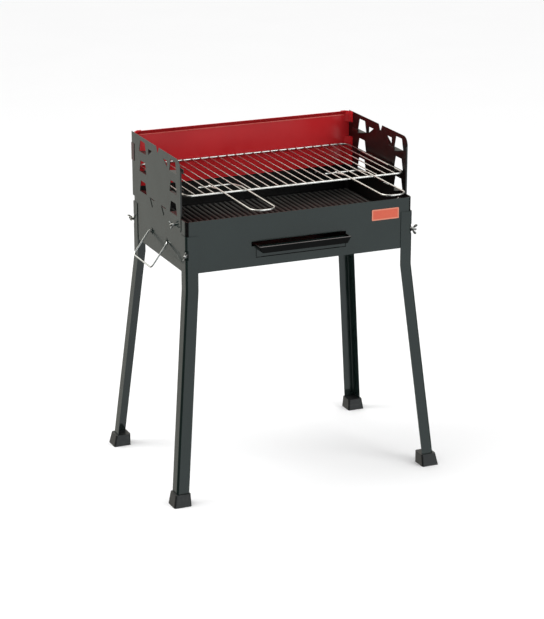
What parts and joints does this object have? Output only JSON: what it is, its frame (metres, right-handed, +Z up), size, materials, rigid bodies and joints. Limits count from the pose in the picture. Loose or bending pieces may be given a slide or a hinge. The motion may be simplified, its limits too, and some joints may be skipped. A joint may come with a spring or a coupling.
{
  "type": "charcoal barbecue",
  "caption": "Portable charcoal barbecue: sheet-steel firebox on splayed legs, slotted wind guards with grid ledges, wire cooking grid and pull-out ash drawer.",
  "frame": {"origin": "on the floor, at the centre of the whole object's bounding box seen from above", "axes": "+X to the user's right along the firebox, -Y to the front where the drawer and the grid handles are, +Z up"},
  "size_m": [0.709, 0.5904, 0.829],
  "materials": {
    "green_enamel": "satin dark green-grey enamel",
    "black_enamel": "satin black heat-proof enamel",
    "red_enamel": "gloss red enamel",
    "plate_red": "satin printed plate, blank",
    "chrome_wire": "bright chromed wire",
    "zinc_wire": "zinc-plated wire",
    "zinc": "zinc-plated fasteners",
    "black_plastic": "moulded black plastic"
  },
  "bodies": {
    "stand": {"firebox_shell": "green_enamel", "firebox_floor": "green_enamel", "tray_ledge_left": "black_enamel", "tray_ledge_right": "black_enamel", "drawer_rail_left": "green_enamel", "drawer_rail_right": "green_enamel", "name_plate": "plate_red", "side_guard_left": "green_enamel", "side_guard_right": "green_enamel", "back_guard": "red_enamel", "back_guard_screws": "zinc", "back_guard_nuts": "zinc", "bail_clips_left": "green_enamel", "bail_clips_right": "green_enamel", "leg_front_left": "green_enamel", "leg_front_right": "green_enamel", "leg_rear_left": "green_enamel", "leg_rear_right": "green_enamel", "foot_front_left": "black_plastic", "foot_front_right": "black_plastic", "foot_rear_left": "black_plastic", "foot_rear_right": "black_plastic", "leg_bolt_front_left": "zinc", "leg_bolt_front_right": "zinc", "leg_bolt_rear_left": "zinc", "leg_bolt_rear_right": "zinc", "guard_bolt_left": "zinc", "guard_bolt_right": "zinc"},
    "ember_tray": {"ember_tray": "black_enamel"},
    "ash_drawer": {"ash_drawer": "green_enamel", "drawer_pull": "black_enamel"},
    "cooking_grid": {"grid_frame": "chrome_wire", "grid_rods": "chrome_wire"},
    "grid_handle_left": {"grid_handle_left": "chrome_wire"},
    "grid_handle_right": {"grid_handle_right": "chrome_wire"},
    "bail_left": {"bail_handle_left": "zinc_wire"},
    "bail_right": {"bail_handle_right": "zinc_wire"},
    "wing_nut_front_left": {"wing_nut_front_left": "zinc"},
    "wing_nut_front_right": {"wing_nut_front_right": "zinc"},
    "wing_nut_rear_left": {"wing_nut_rear_left": "zinc"},
    "wing_nut_rear_right": {"wing_nut_rear_right": "zinc"},
    "wing_nut_guard_left": {"wing_nut_guard_left": "zinc"},
    "wing_nut_guard_right": {"wing_nut_guard_right": "zinc"}
  },
  "joints": [
    {"name": "tray_lift", "type": "slide", "parent": "stand", "child": "ember_tray", "axis": [0, 0, 1], "range_m": [0, 0.04]},
    {"name": "drawer_slide", "type": "slide", "parent": "stand", "child": "ash_drawer", "axis": [0, -1, 0], "range_m": [0, 0.27]},
    {"name": "grid_lift", "type": "slide", "parent": "stand", "child": "cooking_grid", "axis": [0, 0, 1], "range_m": [0, 0.04]},
    {"name": "grid_handle_left_fold", "type": "hinge", "parent": "cooking_grid", "child": "grid_handle_left", "pos_m": [-0.1652, -0.02325, 0.7398], "axis": [-1, 0, 0], "range_deg": [0, 150]},
    {"name": "grid_handle_right_fold", "type": "hinge", "parent": "cooking_grid", "child": "grid_handle_right", "pos_m": [0.1652, -0.02325, 0.7398], "axis": [-1, 0, 0], "range_deg": [0, 150]},
    {"name": "bail_left_swing", "type": "hinge", "parent": "stand", "child": "bail_left", "pos_m": [-0.2963, 0.05675, 0.608], "axis": [0, 1, 0], "range_deg": [0, 125]},
    {"name": "bail_right_swing", "type": "hinge", "parent": "stand", "child": "bail_right", "pos_m": [0.2963, 0.05675, 0.608], "axis": [0, -1, 0], "range_deg": [0, 125]},
    {"name": "wing_nut_front_left_turn", "type": "hinge", "parent": "stand", "child": "wing_nut_front_left", "pos_m": [-0.29213, -0.12138, 0.607], "axis": [-0.7071, -0.7071, 0], "continuous": true},
    {"name": "wing_nut_front_right_turn", "type": "hinge", "parent": "stand", "child": "wing_nut_front_right", "pos_m": [0.29213, -0.12138, 0.607], "axis": [0.7071, -0.7071, 0], "continuous": true},
    {"name": "wing_nut_rear_left_turn", "type": "hinge", "parent": "stand", "child": "wing_nut_rear_left", "pos_m": [-0.29213, 0.23488, 0.607], "axis": [-0.7071, 0.7071, 0], "continuous": true},
    {"name": "wing_nut_rear_right_turn", "type": "hinge", "parent": "stand", "child": "wing_nut_rear_right", "pos_m": [0.29213, 0.23488, 0.607], "axis": [0.7071, 0.7071, 0], "continuous": true},
    {"name": "wing_nut_guard_left_turn", "type": "hinge", "parent": "stand", "child": "wing_nut_guard_left", "pos_m": [-0.2952, -0.05125, 0.665], "axis": [-1, 0, 0], "continuous": true},
    {"name": "wing_nut_guard_right_turn", "type": "hinge", "parent": "stand", "child": "wing_nut_guard_right", "pos_m": [0.2952, -0.05125, 0.665], "axis": [1, 0, 0], "continuous": true}
  ]
}
